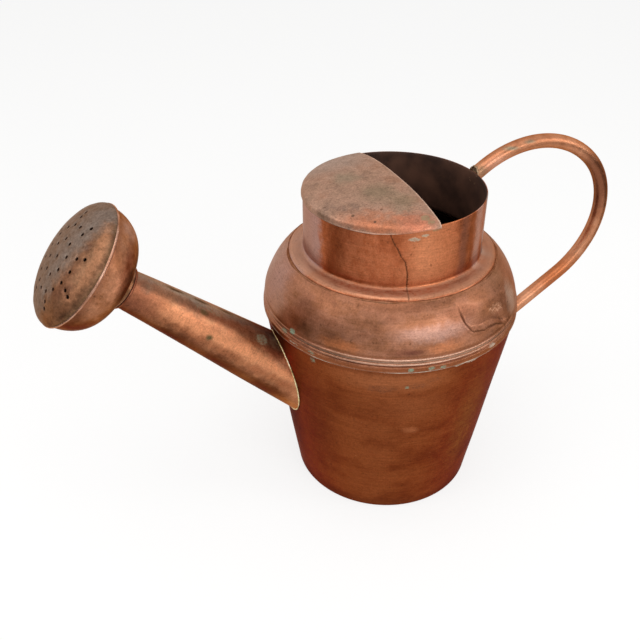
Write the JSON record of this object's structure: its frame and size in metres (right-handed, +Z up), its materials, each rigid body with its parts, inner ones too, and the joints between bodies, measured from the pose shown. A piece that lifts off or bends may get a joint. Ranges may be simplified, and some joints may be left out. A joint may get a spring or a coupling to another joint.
{
  "type": "watering can",
  "caption": "Old tarnished copper watering can with a half hood over the mouth, a looped tube handle, a tapered spout and a domed sprinkling rose that pulls off",
  "frame": {"origin": "centre of the base on the floor", "axes": "+Z up, the spout points towards -X and the handle towards +X, XZ is the plane of symmetry"},
  "size_m": [0.4662, 0.2012, 0.2793],
  "materials": {
    "spun_copper": "tarnished, with fine turning lines",
    "pressed_copper": "satin, stained",
    "neck_copper": "satin, half cleaned",
    "hood_copper": "dull, cloudy",
    "spout_copper": "satin, olive stains",
    "tube_copper": "smooth, bright",
    "rose_copper": "satin",
    "face_copper": "planished, dull",
    "soft_solder": "dull, wiped"
  },
  "bodies": {
    "can": {"body": "spun_copper", "shoulder": "pressed_copper", "neck": "neck_copper", "hood": "hood_copper", "spout": "spout_copper", "handle": "tube_copper", "shoulder_solder": "soft_solder", "neck_solder": "soft_solder", "spout_solder": "soft_solder", "handle_top_solder": "soft_solder", "handle_foot_solder": "soft_solder"},
    "rose": {"rose_socket": "tube_copper", "rose_bell": "rose_copper", "rose_face": "face_copper"}
  },
  "joints": [
    {"name": "rose_pull", "type": "slide", "parent": "can", "child": "rose", "axis": [-0.7408, 0, 0.6717], "range_m": [0, 0.03]}
  ]
}
